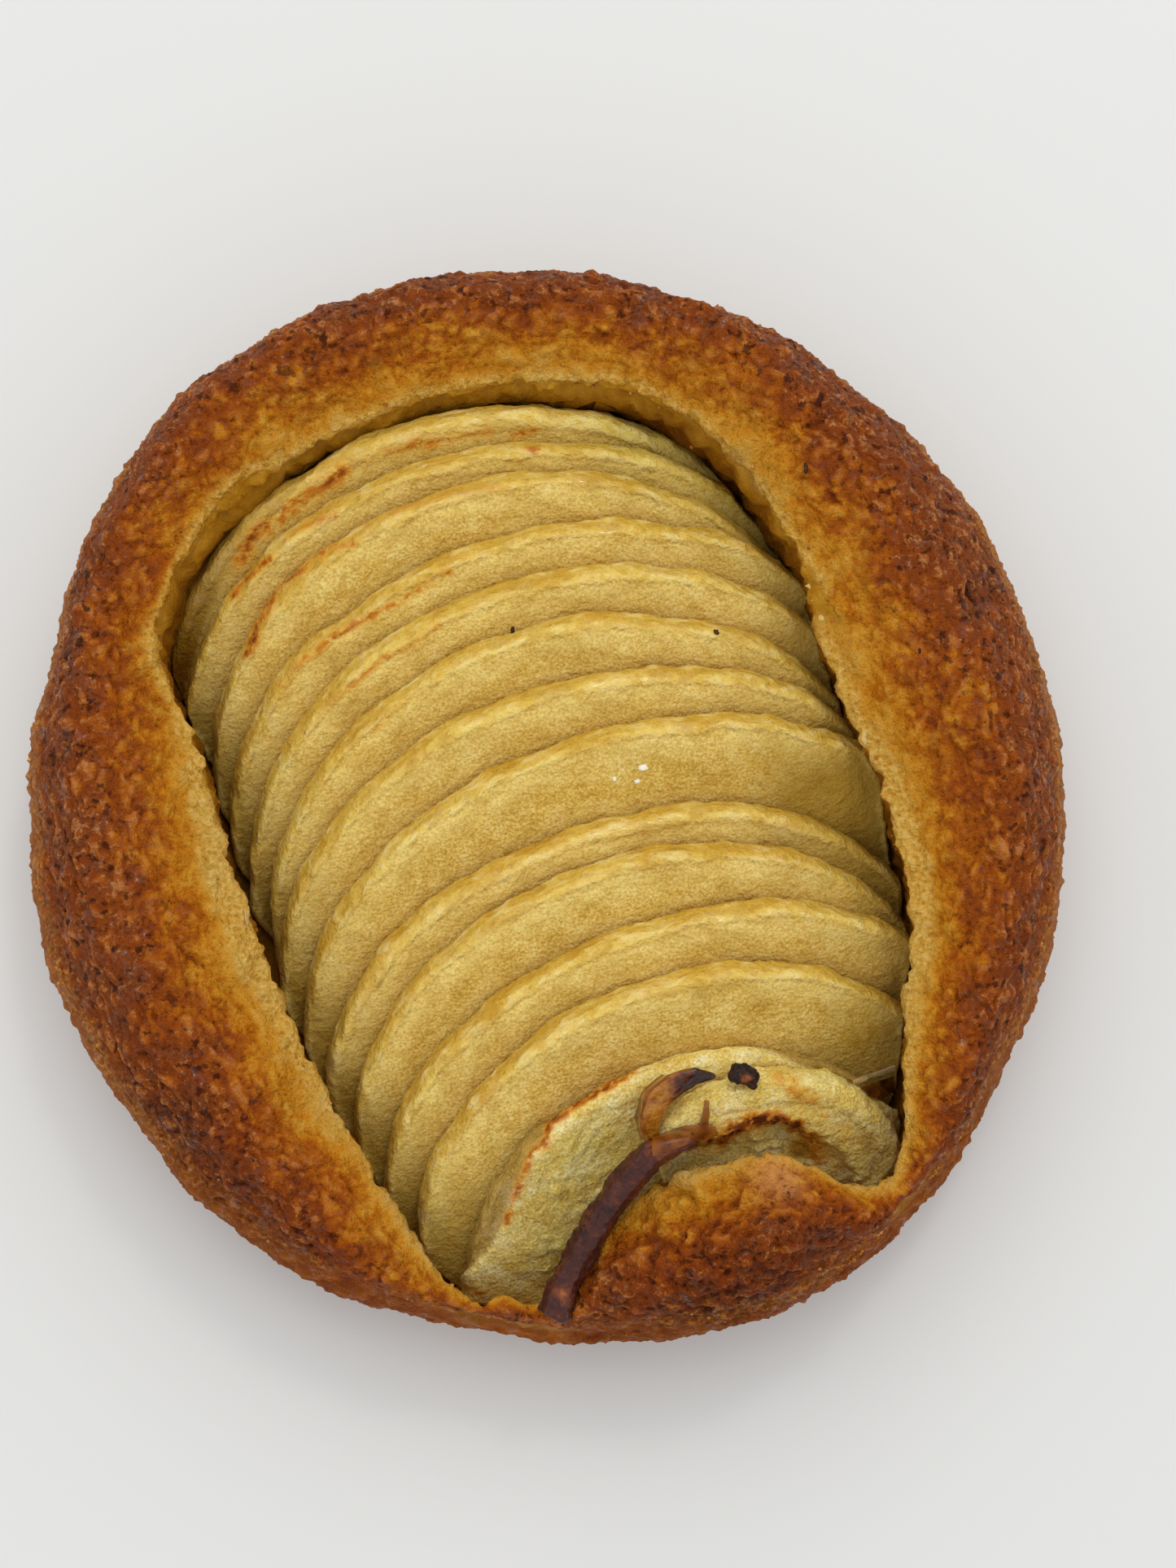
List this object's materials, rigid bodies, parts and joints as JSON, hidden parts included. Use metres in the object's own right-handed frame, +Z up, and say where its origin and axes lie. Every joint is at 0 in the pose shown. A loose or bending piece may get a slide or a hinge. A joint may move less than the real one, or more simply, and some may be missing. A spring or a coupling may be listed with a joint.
{
  "type": "apple tart",
  "caption": "Round baked apple tart: a puffed, browned case around fanned slices of apple, with the burnt stem, core husk and blossom end still on them.",
  "frame": {"origin": "centre of the tart's bounding box in plan, on the surface that it rests on", "axes": "+Z up, +X to the right and +Y to the back as it is seen with the stem at the front"},
  "size_m": [0.113, 0.118, 0.0311],
  "materials": {
    "pastry": "baked cake-like pastry, orange-brown to purple-brown, pale and moist at the lip",
    "apple": "baked apple flesh, yellow-green, moist, toasted brown on some rims",
    "stem": "burnt apple stem, dark purple-brown",
    "core_skin": "tough amber skin of the apple's core, dark at its tip",
    "calyx": "charred remains of the blossom"
  },
  "bodies": {
    "root": {"case": "pastry", "apple_slice_01": "apple", "apple_slice_02": "apple", "apple_slice_03": "apple", "apple_slice_04": "apple", "apple_slice_05": "apple", "apple_slice_06": "apple", "apple_slice_07": "apple", "apple_slice_08": "apple", "apple_slice_09": "apple", "apple_slice_10": "apple", "apple_slice_11": "apple", "apple_slice_12": "apple", "apple_slice_13": "apple", "apple_slice_14": "apple", "stem": "stem", "core_husk": "core_skin", "calyx": "calyx"}
  },
  "joints": []
}
